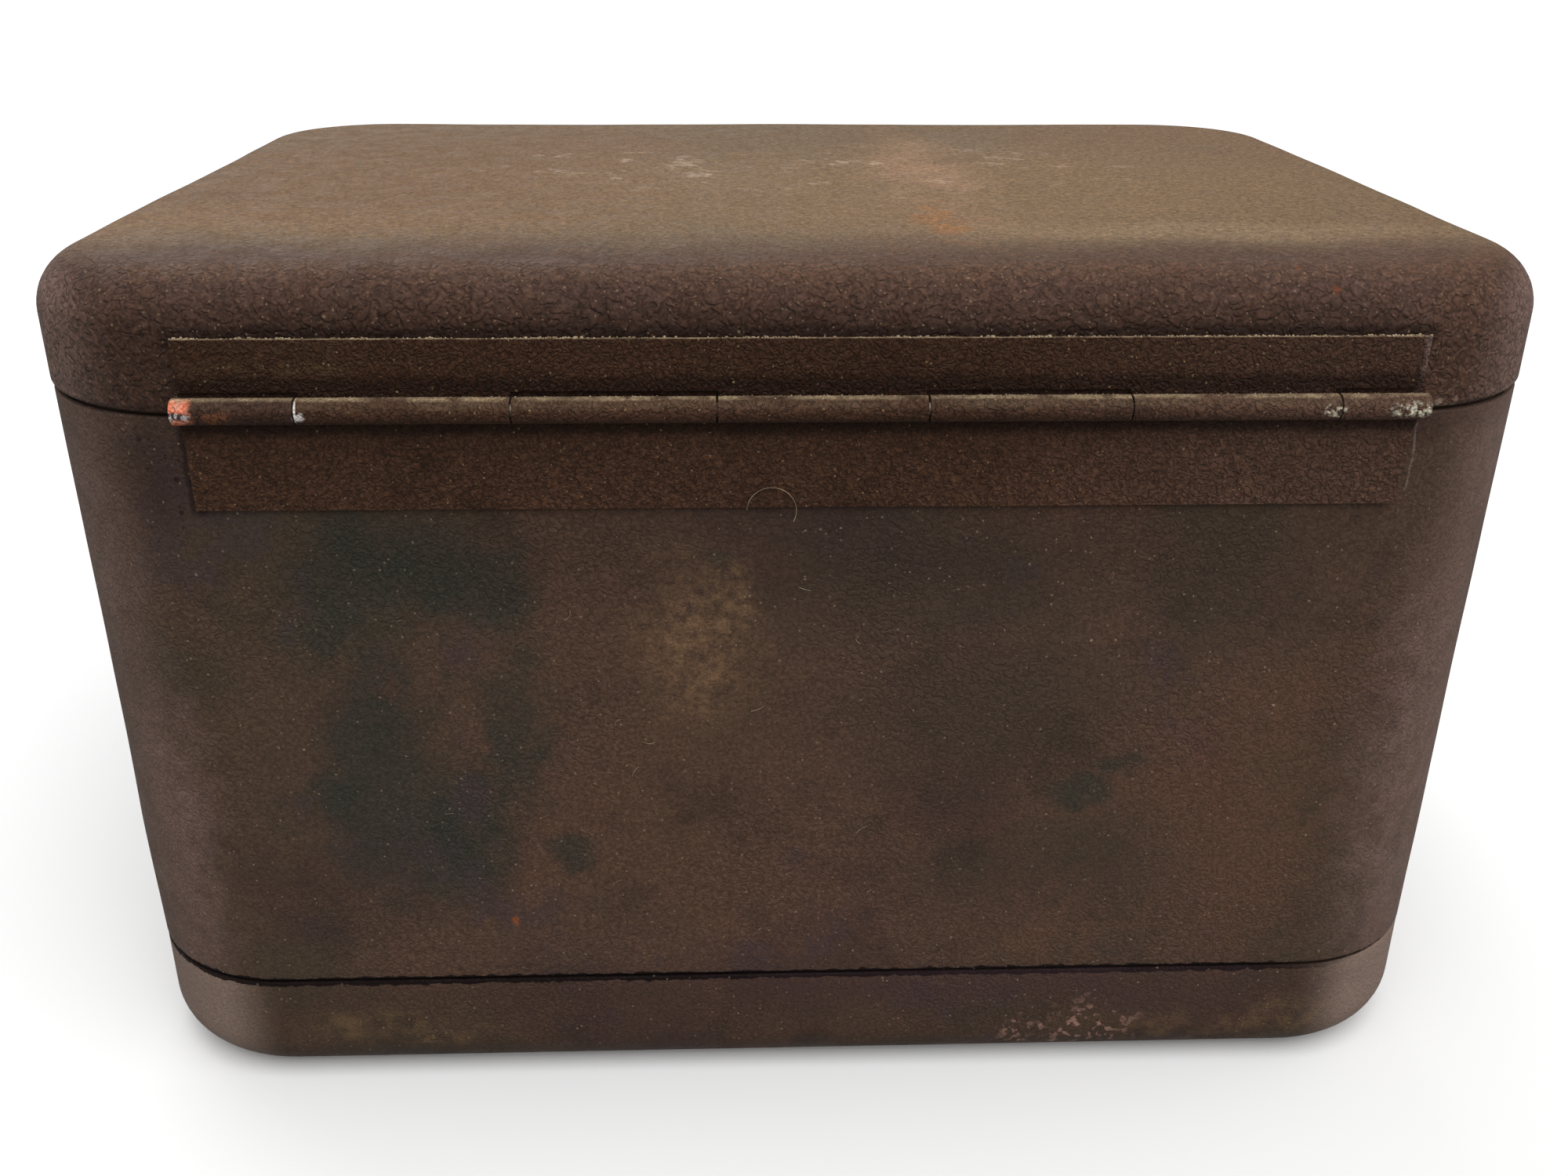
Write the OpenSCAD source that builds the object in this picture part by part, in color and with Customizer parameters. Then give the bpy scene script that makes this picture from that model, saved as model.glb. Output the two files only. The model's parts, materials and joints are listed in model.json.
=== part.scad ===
// Hinged sheet-steel lunch box.
// Origin: middle of the flat base. +Z up, hinge on +Y, clasps and handle on -Y.

/* [Overall size] */
// Width over the lid
lid_w = 254; // [230:1:300]
// Depth over the lid, front to back
lid_d = 188; // [150:1:230]
// Height from the floor to the top of the lid
total_h = 156; // [135:1:200]
// Radius of the lid's upright corners
corner_r = 31; // [26:1:36]
// Thickness of the drawn sheet
sheet = 0.8; // [0.5:0.1:0.9]

/* [Lid] */
// Height of the lid
lid_h = 21.9; // [20:0.1:28]
// Radius of the lid's top edge
lid_edge_r = 10; // [6:0.5:10]
// Radius of the turned-in lower edge
hem_r = 1.3; // [1:0.1:1.5]
// Thickness of the turned-in lower edge
hem_t = 1.9; // [1.7:0.1:2]
// Height of the turned-in lower edge
hem_h = 2.6; // [2:0.1:3]

/* [Body] */
// How far the body's top edge lies inside the lid wall
body_inset = 0.3; // [0.2:0.1:0.6]
// How much further in the body wall lies at its foot
body_flare = 1.2; // [0.2:0.05:1.4]
// Gap between the lid's lower edge and the body's top edge
lid_gap = 0.5; // [0.4:0.1:0.8]
// Height of the collar above the body's top edge
collar_rise = 7; // [4:0.5:9]
// Height of the collar below the body's top edge
collar_drop = 7; // [5:0.5:9]

/* [Base pan] */
// Height of the pan's wall
pan_h = 23; // [18:0.5:32]
// Radius of the pan's bottom edge
pan_edge_r = 10; // [5:0.5:12]
// Height of the groove above the pan
seam_h = 0.6; // [0.4:0.1:1]
// Depth of the body's tongue inside the pan
tongue_h = 8; // [6:0.5:8]

/* [Hinge] */
// Outer radius of the knuckles
knuckle_r = 2.1; // [2:0.05:2.3]
// Radius of the hinge pin
hinge_pin_r = 1.19; // [1:0.01:1.2]
// Height of the pin above the lid's lower edge
hinge_rise = 1.4; // [1:0.1:1.6]
// Thickness of the leaves
leaf_t = 0.9; // [0.7:0.05:0.95]
// Distance from the lid's end to the barrel's end on the +X side
hinge_margin_right = 29.5; // [24:0.1:40]
// Distance from the lid's end to the barrel's end on the -X side
hinge_margin_left = 27.6; // [24:0.1:40]
// Length of the end knuckle on the +X side
first_knuckle = 18.9; // [10:0.1:25]
// Length of the end knuckle on the -X side
last_knuckle = 14.4; // [10:0.1:25]
// Extra length of the lid's knuckles over the body's
knuckle_extra = 1.3; // [0:0.1:2]
// Reach of the lid leaf above the pin
lid_leaf_up = 10.9; // [8:0.1:12]
// Reach of the body leaf below the pin
body_leaf_down = 17.2; // [12:0.1:22]

/* [Clasps] */
// Distance of each clasp from the middle
clasp_x = 75; // [66:1:80]
// Width of the clasp bracket
clasp_bracket_w = 24; // [22:1:26]
// Width of the clasp plate
clasp_w = 18; // [16:0.5:20]
// Length of the clasp plate below its pin, to the start of the finger lip
clasp_drop = 30; // [28:0.5:36]
// Radius of the clasp pin
clasp_pin_r = 1; // [0.8:0.05:1]

/* [Handle] */
// Distance of each handle eye from the middle
eye_x = 52; // [48:1:58]
// Height of the handle's pivot
handle_z = 80; // [70:1:90]
// Distance from the pivot to the middle of the grip
bail_drop = 36; // [32:1:40]
// Radius of the bail wire
wire_r = 2; // [1.8:0.1:2]
// Radius of the grip
grip_r = 6.5; // [5:0.5:7]

/* [Hidden] */
$fn = 72;
SIDES = [-1, 1];

// running fits and the clearances between pieces that move
run_gap = 0.05;
free_gap = 0.3;
touch_gap = 0.05;

// shells
foot_inset = body_inset + body_flare;
body_w = lid_w - 2 * foot_inset;
body_d = lid_d - 2 * foot_inset;
body_r = corner_r - foot_inset;
body_top_r = corner_r - body_inset;
lid_z = total_h - lid_h;
body_top = lid_z - lid_gap;
pan_inset = 0.1;
pan_w = body_w - 2 * pan_inset;
pan_d = body_d - 2 * pan_inset;
pan_r = body_r - pan_inset;
tongue_r = pan_r - sheet - touch_gap;
seam_top = pan_h + seam_h;
shelf_t = 1;
collar_gap = 0.55;
collar_bend = [0.5, 2.5];

// hinge
KNUCKLES = 7;
hinge_y = lid_d / 2 + knuckle_r + free_gap;
hinge_z = lid_z + hinge_rise;
barrel_right = lid_w / 2 - hinge_margin_right;
barrel_len = lid_w - hinge_margin_right - hinge_margin_left;
body_knuckle = (barrel_len - first_knuckle - last_knuckle - 3 * knuckle_extra) / 5;
lid_knuckle = body_knuckle + knuckle_extra;
leaf_end = 0.5;
leaf_taper = 1.2;
leaf_step = [3, 5.6];
notch_gap = 0.4;
pin_recess = 0.3;

// clasps
clasp_t = 0.9;
clasp_bore_r = clasp_pin_r + run_gap;
clasp_knuckle_r = clasp_bore_r + 0.85;
clasp_z = lid_z + 5.4;
clasp_y = -(lid_d / 2 + clasp_knuckle_r + free_gap);
end_knuckle = 5;
bracket_top = lid_z + lid_h - lid_edge_r;
bracket_bottom = clasp_z - clasp_knuckle_r;
clasp_rivet_x = 7;
clasp_rivet_z = clasp_z + 4.3;
bead_r = 0.85;
bead_z = clasp_z - 21.3;
lip_out = 3.4;
lip_down = 4;

// catch on the body
catch_w = 18;
catch_t = 0.9;
catch_z = clasp_z - 29.5;
catch_h = 14;
ridge_r = 0.9;
ridge_z = bead_z + 1.4;
ridge_half = 5;
catch_rivet_x = 5.5;
catch_rivet_z = catch_z + 3.8;
catch_face = -wall_y(catch_z + catch_h) - catch_t;

// rivets
small_rivet_r = 1.1;
big_rivet_r = 1.5;
tail_t = 0.6;
tail_gap = 0.02;
hole_reach = 3;

// handle
eye_r = wire_r + run_gap + 1.25;
eye_w = 9;
eye_plate = [12, 20];
eye_plate_t = 1.2;
eye_web = 2.4;
eye_rivet_z = 6.4;
eye_overlap = 0.6;
eye_face = -wall_y(handle_z + eye_plate[1] / 2) - eye_plate_t;
handle_y = -(lid_d / 2 + grip_r + free_gap);
arm_x = eye_x - 9;
wire_end_x = eye_x + 6.5;
low_bend_r = 5;
top_bend_r = 3.5;
grip_half = arm_x - low_bend_r - 1;
grip_end_r = 2;
ring_r = 1.2;
ring_depth = 0.5;

// ---------- shapes used more than once ----------

// Sweeps a section around a rounded rectangle. The section's x runs outward from the
// corner's centre and its y is height. A plate of the given place and thickness closes
// the middle.
module around(w, d, r, plate_z = 0, plate_t = 0) {
    cx = w / 2 - r;
    cy = d / 2 - r;
    for (turn = [0, 180]) {
        rotate([0, 0, turn]) translate([cx, cy, 0])
            rotate([90, 0, 0]) linear_extrude(2 * cy) children();
        rotate([0, 0, turn + 90]) translate([cy, cx, 0])
            rotate([90, 0, 0]) linear_extrude(2 * cx) children();
    }
    for (corner = [[1, 1, 0], [-1, 1, 90], [-1, -1, 180], [1, -1, 270]])
        translate([corner[0] * cx, corner[1] * cy, 0])
            rotate([0, 0, corner[2]]) rotate_extrude(angle = 90) children();
    if (plate_t > 0)
        translate([-cx, -cy, plate_z]) cube([2 * cx, 2 * cy, plate_t]);
}

// Filled half section of a block with one rounded upper edge.
module block_section(r, edge, h) {
    square([r - edge, h]);
    square([r, h - edge]);
    translate([r - edge, h - edge]) circle(edge);
}

// Section of a drawn shell: wall, rounded edge and flat top.
module shell_section(r, edge, h) {
    difference() {
        block_section(r, edge, h);
        block_section(r - sheet, edge - sheet, h - sheet);
    }
}

// Flat outline with four rounded corners, centred.
module rounded_plate(w, h, r) {
    square([w - 2 * r, h], center = true);
    square([w, h - 2 * r], center = true);
    for (sx = SIDES, sy = SIDES)
        translate([sx * (w / 2 - r), sy * (h / 2 - r)]) circle(r);
}

// Stands an outline drawn in X and Z on the plane at y, growing towards -Y.
module standing(y, t) {
    translate([0, y, 0]) rotate([90, 0, 0]) linear_extrude(t) children();
}

// Pushes an outline drawn in Y and Z along X, from x over a length.
module along_x(x, length) {
    translate([x, 0, 0]) rotate([90, 0, 90]) linear_extrude(length) children();
}

// Cylinder along X between two places.
module bar_x(x, length, r) {
    translate([x, 0, 0]) rotate([0, 90, 0]) cylinder(h = length, r = r);
}

// Hole through a front wall, along Y.
module front_hole(x, y, z, r) {
    translate([x, y + hole_reach, z]) rotate([90, 0, 0])
        cylinder(h = 2 * hole_reach, r = r + run_gap);
}

// Distance from the middle to the outer face of the body's back or front wall at a height.
function wall_y(z) = body_d / 2 + body_flare * (z - seam_top) / (body_top - seam_top);

// Everything behind the outer face of the body's front wall.
module behind_front_wall() {
    along_x(-lid_w / 2, lid_w) polygon([
        [0, seam_top],
        [-wall_y(seam_top), seam_top],
        [-wall_y(body_top), body_top],
        [0, body_top]
    ]);
}

// Rivet through a front wall: y is the outer face under the head, grip the metal held.
module rivet(x, y, z, r, grip) {
    head_r = 1.55 * r;
    head_h = 0.75 * r;
    dome_r = (head_r * head_r + head_h * head_h) / (2 * head_h);
    translate([x, y, z]) rotate([90, 0, 0]) rotate_extrude() {
        translate([0, -grip]) square([r, grip]);
        translate([0, -grip - tail_t]) square([1.3 * r, tail_t]);
        intersection() {
            translate([0, head_h - dome_r]) circle(dome_r);
            square([head_r, head_h]);
        }
    }
}

// Metal held by a rivet through the front wall, from the face under its head to its tail.
function wall_grip(face, z) = -face - wall_y(z) + sheet + tail_gap;

// ---------- body ----------

// Band that widens a little upwards, with a tongue at its foot that drops into the pan.
module body_shell() {
    color("#44352b") difference() {
        around(body_w, body_d, body_r) {
            polygon([
                [body_r - sheet, seam_top],
                [body_r, seam_top],
                [body_top_r, body_top],
                [body_top_r - sheet, body_top]
            ]);
            translate([tongue_r - sheet, seam_top])
                square([body_r - tongue_r + sheet, shelf_t]);
            translate([tongue_r - sheet, pan_h - tongue_h])
                square([sheet, tongue_h + seam_h + shelf_t]);
        }
        for (side = SIDES) {
            for (dz = SIDES)
                front_hole(side * eye_x, -body_d / 2, handle_z + dz * eye_rivet_z, big_rivet_r);
            for (dx = SIDES)
                front_hole(side * clasp_x + dx * catch_rivet_x, -body_d / 2, catch_rivet_z,
                    small_rivet_r);
        }
    }
}

// Drawn pan that closes the box below.
module base_pan() {
    color("#45352b") translate([0, 0, pan_h]) mirror([0, 0, 1])
        around(pan_w, pan_d, pan_r, pan_h - sheet, sheet)
            shell_section(pan_r, pan_edge_r, pan_h);
}

// Collar that locates the lid: against the body's wall below, bent inward at its top edge.
module rim_collar() {
    inner_face = body_top_r - sheet - touch_gap;
    lean = body_flare / (body_top - seam_top);
    foot = inner_face - lean * collar_drop;
    bend = inner_face - lean * collar_bend[1];
    high = corner_r - hem_t - collar_gap;
    color("#3c3028") around(body_w, body_d, body_r) translate([0, body_top]) {
        polygon([
            [foot - sheet, -collar_drop],
            [foot, -collar_drop],
            [bend, -collar_bend[1]],
            [high, -collar_bend[0]],
            [high, collar_rise - sheet / 2],
            [high - sheet, collar_rise - sheet / 2],
            [high - sheet, -collar_bend[0]],
            [bend - sheet, -collar_bend[1]]
        ]);
        translate([high - sheet / 2, collar_rise - sheet / 2]) circle(sheet / 2);
    }
}

// ---------- hinge ----------

function is_lid_knuckle(i) = i % 2 == 1;
function knuckle_len(i) =
    i == 0 ? first_knuckle
    : i == KNUCKLES - 1 ? last_knuckle
    : is_lid_knuckle(i) ? lid_knuckle : body_knuckle;
function knuckle_start(i) = i == 0 ? 0 : knuckle_start(i - 1) + knuckle_len(i - 1);
function knuckle_x(i) = barrel_right - knuckle_start(i) - knuckle_len(i);

// One knuckle, shortened by half the free gap at each end.
module knuckle(i, r) {
    translate([0, hinge_y, hinge_z])
        bar_x(knuckle_x(i) + free_gap / 2, knuckle_len(i) - free_gap, r);
}

// Room for the other leaf's knuckle i: up is 1 above the notch's lower edge, -1 below.
module notch(i, up) {
    edge_z = hinge_z - up * (knuckle_r + notch_gap);
    low_z = up > 0 ? edge_z : edge_z - 3 * knuckle_r;
    translate([knuckle_x(i) - free_gap / 2, hinge_y - 3 * knuckle_r, low_z])
        cube([knuckle_len(i) + free_gap, 6 * knuckle_r, 3 * knuckle_r]);
}

module hinge_bore() {
    translate([0, hinge_y, hinge_z])
        bar_x(barrel_right - barrel_len - 1, barrel_len + 2, hinge_pin_r + run_gap);
}

// Leaf on the body. It steps out from the wall just below the barrel, and its -X end
// leans in a little towards the foot.
module hinge_body_leaf() {
    bottom = hinge_z - body_leaf_down;
    face = hinge_y - knuckle_r;
    step_low = hinge_z - leaf_step[1];
    step_high = hinge_z - leaf_step[0];
    right = barrel_right - leaf_end;
    left = barrel_right - barrel_len + leaf_end;
    color("#3b2a21") difference() {
        union() {
            intersection() {
                along_x(left, right - left) polygon([
                    [wall_y(bottom), bottom],
                    [wall_y(bottom) + leaf_t, bottom],
                    [wall_y(step_low) + leaf_t, step_low],
                    [face + leaf_t, step_high],
                    [face + leaf_t, hinge_z],
                    [face, hinge_z],
                    [face, step_high],
                    [wall_y(step_low), step_low]
                ]);
                standing(hinge_y, 2 * knuckle_r + 2) polygon([
                    [left, hinge_z + 1],
                    [left + leaf_taper, bottom],
                    [right, bottom],
                    [right, hinge_z + 1]
                ]);
            }
            for (i = [0 : KNUCKLES - 1])
                if (!is_lid_knuckle(i)) knuckle(i, knuckle_r);
        }
        for (i = [0 : KNUCKLES - 1])
            if (is_lid_knuckle(i)) notch(i, 1);
        hinge_bore();
    }
}

// Leaf on the lid, flat against its back wall.
module hinge_lid_leaf() {
    color("#312017") difference() {
        union() {
            translate([barrel_right - barrel_len + leaf_end, lid_d / 2, hinge_z])
                cube([barrel_len - 2 * leaf_end, leaf_t, lid_leaf_up]);
            for (i = [0 : KNUCKLES - 1])
                if (is_lid_knuckle(i)) knuckle(i, knuckle_r);
        }
        for (i = [0 : KNUCKLES - 1])
            if (!is_lid_knuckle(i)) notch(i, -1);
        hinge_bore();
    }
}

module hinge_pin() {
    color("#5a4a3c") translate([0, hinge_y, hinge_z])
        bar_x(barrel_right - barrel_len + pin_recess, barrel_len - 2 * pin_recess, hinge_pin_r);
}

// ---------- lid ----------

// Drawn lid with a rounded top edge and a turned-in lower edge.
module lid_shell() {
    hem_x = corner_r - hem_t;
    color("#75604c") difference() {
        translate([0, 0, lid_z]) around(lid_w, lid_d, corner_r, lid_h - sheet, sheet)
            difference() {
                union() {
                    shell_section(corner_r, lid_edge_r, lid_h);
                    translate([hem_x, 0]) square([hem_t, hem_h]);
                }
                difference() {
                    translate([corner_r - hem_r, 0]) square([hem_r, hem_r]);
                    translate([corner_r - hem_r, hem_r]) circle(hem_r);
                }
            }
        for (side = SIDES, dx = SIDES)
            front_hole(side * clasp_x + dx * clasp_rivet_x, -lid_d / 2, clasp_rivet_z,
                small_rivet_r);
    }
}

// ---------- clasps ----------

// Bracket on the lid's front with a knuckle at each end.
module clasp_bracket(side) {
    middle = side * clasp_x;
    gap_w = clasp_bracket_w - 2 * end_knuckle;
    h = bracket_top - bracket_bottom;
    color("#8a8478") difference() {
        union() {
            standing(-lid_d / 2, clasp_t) translate([middle, bracket_bottom + h / 2])
                rounded_plate(clasp_bracket_w, h, 1.5);
            for (x = [-clasp_bracket_w / 2, gap_w / 2])
                translate([0, clasp_y, clasp_z])
                    bar_x(middle + x, end_knuckle, clasp_knuckle_r);
        }
        translate([middle - gap_w / 2, clasp_y, bracket_bottom - 1])
            cube([gap_w, 4, clasp_knuckle_r * 2 + free_gap + 1]);
        translate([0, clasp_y, clasp_z])
            bar_x(middle - clasp_bracket_w, 2 * clasp_bracket_w, clasp_bore_r);
        for (dx = SIDES)
            front_hole(middle + dx * clasp_rivet_x, -lid_d / 2, clasp_rivet_z, small_rivet_r);
    }
}

module clasp_bracket_rivets() {
    color("#9a948a") for (side = SIDES, dx = SIDES)
        rivet(side * clasp_x + dx * clasp_rivet_x, -lid_d / 2 - clasp_t, clasp_rivet_z,
            small_rivet_r, clasp_t + sheet);
}

module clasp_pin(side) {
    pin_len = clasp_bracket_w + 0.8;
    color("#9a948a") translate([0, clasp_y, clasp_z])
        bar_x(side * clasp_x - pin_len / 2, pin_len, clasp_pin_r);
}

// Swinging plate with a snap bead on its inner face and a finger lip at its foot.
module clasp_plate(side) {
    middle = side * clasp_x;
    neck_w = clasp_bracket_w - 2 * end_knuckle - 2 * free_gap;
    foot = clasp_drop + lip_down;
    neck_h = clasp_knuckle_r + 1;
    half = clasp_t / 2;
    color("#a39d92") difference() {
        intersection() {
            along_x(middle - clasp_w / 2, clasp_w) translate([clasp_y, clasp_z]) {
                circle(clasp_knuckle_r);
                translate([half, bead_z - clasp_z]) circle(bead_r);
                polygon([
                    [half, 0],
                    [-half, 0],
                    [-half, -clasp_drop],
                    [-half - lip_out, -foot],
                    [half - lip_out, -foot - half],
                    [half, -clasp_drop - half]
                ]);
            }
            standing(clasp_y + 5, 15) translate([middle, clasp_z]) {
                translate([-neck_w / 2, -foot / 2]) square([neck_w, foot / 2 + 5]);
                translate([0, -(neck_h + foot + 1) / 2])
                    rounded_plate(clasp_w, foot + 1 - neck_h, 4);
            }
        }
        translate([0, clasp_y, clasp_z])
            bar_x(middle - clasp_w, 2 * clasp_w, clasp_bore_r);
    }
}

// Plate on the body's front with the ridge that the clasp snaps under.
module catch_plate(side) {
    middle = side * clasp_x;
    color("#8a8478") difference() {
        union() {
            standing(catch_face + 2 * catch_t, 2 * catch_t)
                translate([middle, catch_z + catch_h / 2]) rounded_plate(catch_w, catch_h, 2.5);
            intersection() {
                translate([middle, catch_face, ridge_z]) {
                    bar_x(-ridge_half, 2 * ridge_half, ridge_r);
                    for (end = SIDES)
                        translate([end * ridge_half, 0, 0]) sphere(ridge_r);
                }
                translate([middle - catch_w / 2, catch_face - catch_w, ridge_z - catch_w / 2])
                    cube([catch_w, catch_w + catch_t / 2, catch_w]);
            }
        }
        behind_front_wall();
        for (dx = SIDES)
            front_hole(middle + dx * catch_rivet_x, catch_face, catch_rivet_z, small_rivet_r);
    }
}

module catch_rivets() {
    color("#9a948a") for (side = SIDES, dx = SIDES)
        rivet(side * clasp_x + dx * catch_rivet_x, catch_face, catch_rivet_z,
            small_rivet_r, wall_grip(catch_face, catch_rivet_z));
}

// ---------- handle ----------

// Strap bent round the bail's end and pinched together behind it.
module handle_bracket(side) {
    middle = side * eye_x;
    web_start = handle_y + eye_r - eye_overlap;
    color("#4a3a2e") difference() {
        union() {
            standing(eye_face + 2 * eye_plate_t, 2 * eye_plate_t)
                translate([middle, handle_z]) rounded_plate(eye_plate[0], eye_plate[1], 3);
            translate([middle - eye_w / 2, web_start, handle_z - eye_web / 2])
                cube([eye_w, eye_face + eye_plate_t / 2 - web_start, eye_web]);
            translate([0, handle_y, handle_z]) bar_x(middle - eye_w / 2, eye_w, eye_r);
        }
        translate([0, handle_y, handle_z])
            bar_x(middle - eye_w, 2 * eye_w, wire_r + run_gap);
        behind_front_wall();
        for (dz = SIDES)
            front_hole(middle, eye_face, handle_z + dz * eye_rivet_z, big_rivet_r);
    }
}

module handle_bracket_rivets() {
    color("#9a948a") for (side = SIDES, dz = SIDES)
        rivet(side * eye_x, eye_face, handle_z + dz * eye_rivet_z,
            big_rivet_r, wall_grip(eye_face, handle_z + dz * eye_rivet_z));
}

// Quarter bend of the wire about a centre in the XZ plane, starting at an angle.
module wire_bend(x, z, bend_r, start_angle) {
    translate([x, 0, z]) rotate([90, 0, 0]) rotate([0, 0, start_angle])
        rotate_extrude(angle = 90) translate([bend_r, 0]) circle(wire_r);
}

// One half of the bail, from the middle of the grip to the end in the eye.
module half_bail() {
    bar_x(0, arm_x - low_bend_r, wire_r);
    wire_bend(arm_x - low_bend_r, low_bend_r, low_bend_r, 270);
    translate([arm_x, 0, low_bend_r])
        cylinder(h = bail_drop - low_bend_r - top_bend_r, r = wire_r);
    wire_bend(arm_x + top_bend_r, bail_drop - top_bend_r, top_bend_r, 90);
    translate([0, 0, bail_drop])
        bar_x(arm_x + top_bend_r, wire_end_x - arm_x - top_bend_r, wire_r);
}

// Wire bail, hanging down.
module handle_bail() {
    color("#8f897d") translate([0, handle_y, handle_z - bail_drop]) {
        half_bail();
        mirror([1, 0, 0]) half_bail();
    }
}

// Round grip with two shallow rings turned near each end, bored for the wire.
module handle_grip() {
    color("#2a1d16") translate([0, handle_y, handle_z - bail_drop]) rotate([0, 90, 0])
        rotate_extrude() difference() {
            union() {
                translate([0, grip_end_r - grip_half])
                    square([grip_r, 2 * (grip_half - grip_end_r)]);
                translate([0, -grip_half]) square([grip_r - grip_end_r, 2 * grip_half]);
                for (end = SIDES)
                    translate([grip_r - grip_end_r, end * (grip_half - grip_end_r)])
                        circle(grip_end_r);
            }
            translate([0, -grip_half - 1]) square([wire_r + touch_gap, 2 * grip_half + 2]);
            for (end = SIDES, step = [0, 1])
                translate([grip_r + ring_r - ring_depth, end * (grip_half - 6 - 3 * step)])
                    circle(ring_r);
        }
}

body_shell();
base_pan();
rim_collar();
hinge_body_leaf();
hinge_lid_leaf();
hinge_pin();
lid_shell();
clasp_bracket(-1);  // clasp_bracket_left
clasp_bracket(1);  // clasp_bracket_right
clasp_bracket_rivets();
clasp_pin(-1);  // clasp_pin_left
clasp_pin(1);  // clasp_pin_right
clasp_plate(-1);  // clasp_plate_left
clasp_plate(1);  // clasp_plate_right
catch_plate(-1);  // catch_plate_left
catch_plate(1);  // catch_plate_right
catch_rivets();
handle_bracket(-1);  // handle_bracket_left
handle_bracket(1);  // handle_bracket_right
handle_bracket_rivets();
handle_bail();
handle_grip();
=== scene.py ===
"""Looks of a hinged sheet-steel lunch box: brown wrinkle enamel under old dust.

Metres, in the frame's own axes: +Z up, hinge at +Y, clasps and handle at -Y. The places and
sizes of wear are in millimetres.
"""

import json
import math
import random

import bmesh
import bpy
from mathutils import Matrix, Vector, noise


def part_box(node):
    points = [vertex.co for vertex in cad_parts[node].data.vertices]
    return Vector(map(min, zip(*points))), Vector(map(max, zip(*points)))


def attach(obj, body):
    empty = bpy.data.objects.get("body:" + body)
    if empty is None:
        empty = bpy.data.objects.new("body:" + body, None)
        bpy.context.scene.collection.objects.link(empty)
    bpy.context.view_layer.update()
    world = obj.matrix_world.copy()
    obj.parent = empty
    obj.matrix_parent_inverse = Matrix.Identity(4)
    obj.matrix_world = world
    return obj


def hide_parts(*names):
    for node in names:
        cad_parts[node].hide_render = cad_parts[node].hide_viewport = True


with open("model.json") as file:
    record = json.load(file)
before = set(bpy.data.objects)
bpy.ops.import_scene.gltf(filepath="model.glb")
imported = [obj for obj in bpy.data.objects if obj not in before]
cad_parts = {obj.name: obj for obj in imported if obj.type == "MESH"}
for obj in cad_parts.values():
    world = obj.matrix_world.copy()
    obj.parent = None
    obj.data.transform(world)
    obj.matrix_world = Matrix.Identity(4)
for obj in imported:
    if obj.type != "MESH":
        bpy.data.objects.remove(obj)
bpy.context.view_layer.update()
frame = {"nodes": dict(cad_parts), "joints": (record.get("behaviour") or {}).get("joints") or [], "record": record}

MM = 0.001

# Unseeded, noise_vector gives other values in every run.
noise.seed_set(5)

# ---------- sizes taken from the frame, and the radii that it doesn't state ----------

lid_lo, lid_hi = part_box("lid_shell")
body_lo, body_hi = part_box("body_shell")
pan_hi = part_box("base_pan")[1]
body_leaf_lo, body_leaf_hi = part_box("hinge_body_leaf")
lid_leaf_lo, lid_leaf_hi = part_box("hinge_lid_leaf")
HINGE = Vector(next(j["pos_m"] for j in frame["joints"] if j["name"] == "lid_hinge"))

SHEET = 0.8 * MM
CORNER_R = 31 * MM
EDGE_R = 10 * MM
CORNER_X = lid_hi.x - CORNER_R
CORNER_Y = lid_hi.y - CORNER_R
PAN_INSET = 0.1 * MM
PAN_R = pan_hi.x - CORNER_X
FOOT_R = PAN_R + PAN_INSET
BODY_TOP_R = body_hi.x - CORNER_X
GROOVE = 0.6 * MM
BARREL_R = body_leaf_hi.y - HINGE.y
LID_BACK = lid_hi.y
TOP = lid_hi.z
SEAM = pan_hi.z
END_KNUCKLES = (18.9 * MM, 14.4 * MM)
WIDER_KNUCKLE = 1.3 * MM


def knuckle_spans():
    """The barrel's knuckles from +X to -X, as (low x, high x). The first and every other one
    belong to the body. The lid's three are slightly wider than the body's inner two."""
    first, last = END_KNUCKLES
    edges = [body_leaf_hi.x, body_leaf_hi.x - first]
    middle = edges[1] - (body_leaf_lo.x + last)
    step = (middle - 3 * WIDER_KNUCKLE) / 5
    for k in range(5):
        edges.append(edges[-1] - step - (WIDER_KNUCKLE if k % 2 == 0 else 0))
    edges.append(body_leaf_lo.x)
    return [(b, a) for a, b in zip(edges, edges[1:])]


# ---------- camera, floor and light ----------

CAMERA_PLACE = (0.0115, 0.3242, 0.2068)
CAMERA_AIM = (-0.0350, -0.9122, -0.4083)
CAMERA_ROLL_DEG = 0.4
SENSOR_WIDTH = 36
FOCAL_LENGTH = 34.8
FLOOR_SIZE = 40
WORLD_STRENGTH = 0.27


def make_camera():
    data = bpy.data.cameras.new("camera")
    data.sensor_width = SENSOR_WIDTH
    data.lens = FOCAL_LENGTH
    camera = bpy.data.objects.new("camera", data)
    aim = Vector(CAMERA_AIM).to_track_quat("-Z", "Y").to_matrix().to_4x4()
    roll = Matrix.Rotation(math.radians(CAMERA_ROLL_DEG), 4, "Z")
    camera.matrix_world = Matrix.Translation(CAMERA_PLACE) @ aim @ roll
    bpy.context.scene.collection.objects.link(camera)
    bpy.context.scene.camera = camera


def make_floor():
    bpy.ops.mesh.primitive_plane_add(size=FLOOR_SIZE, location=(0, 0, 0))
    floor = bpy.context.object
    floor.name = "floor"
    floor.visible_diffuse = False
    floor.visible_glossy = False
    g = Graph("pale_floor")
    g.surface(colour=(0.88, 0.88, 0.88, 1), roughness=0.9)
    floor.data.materials.append(g.material)


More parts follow.
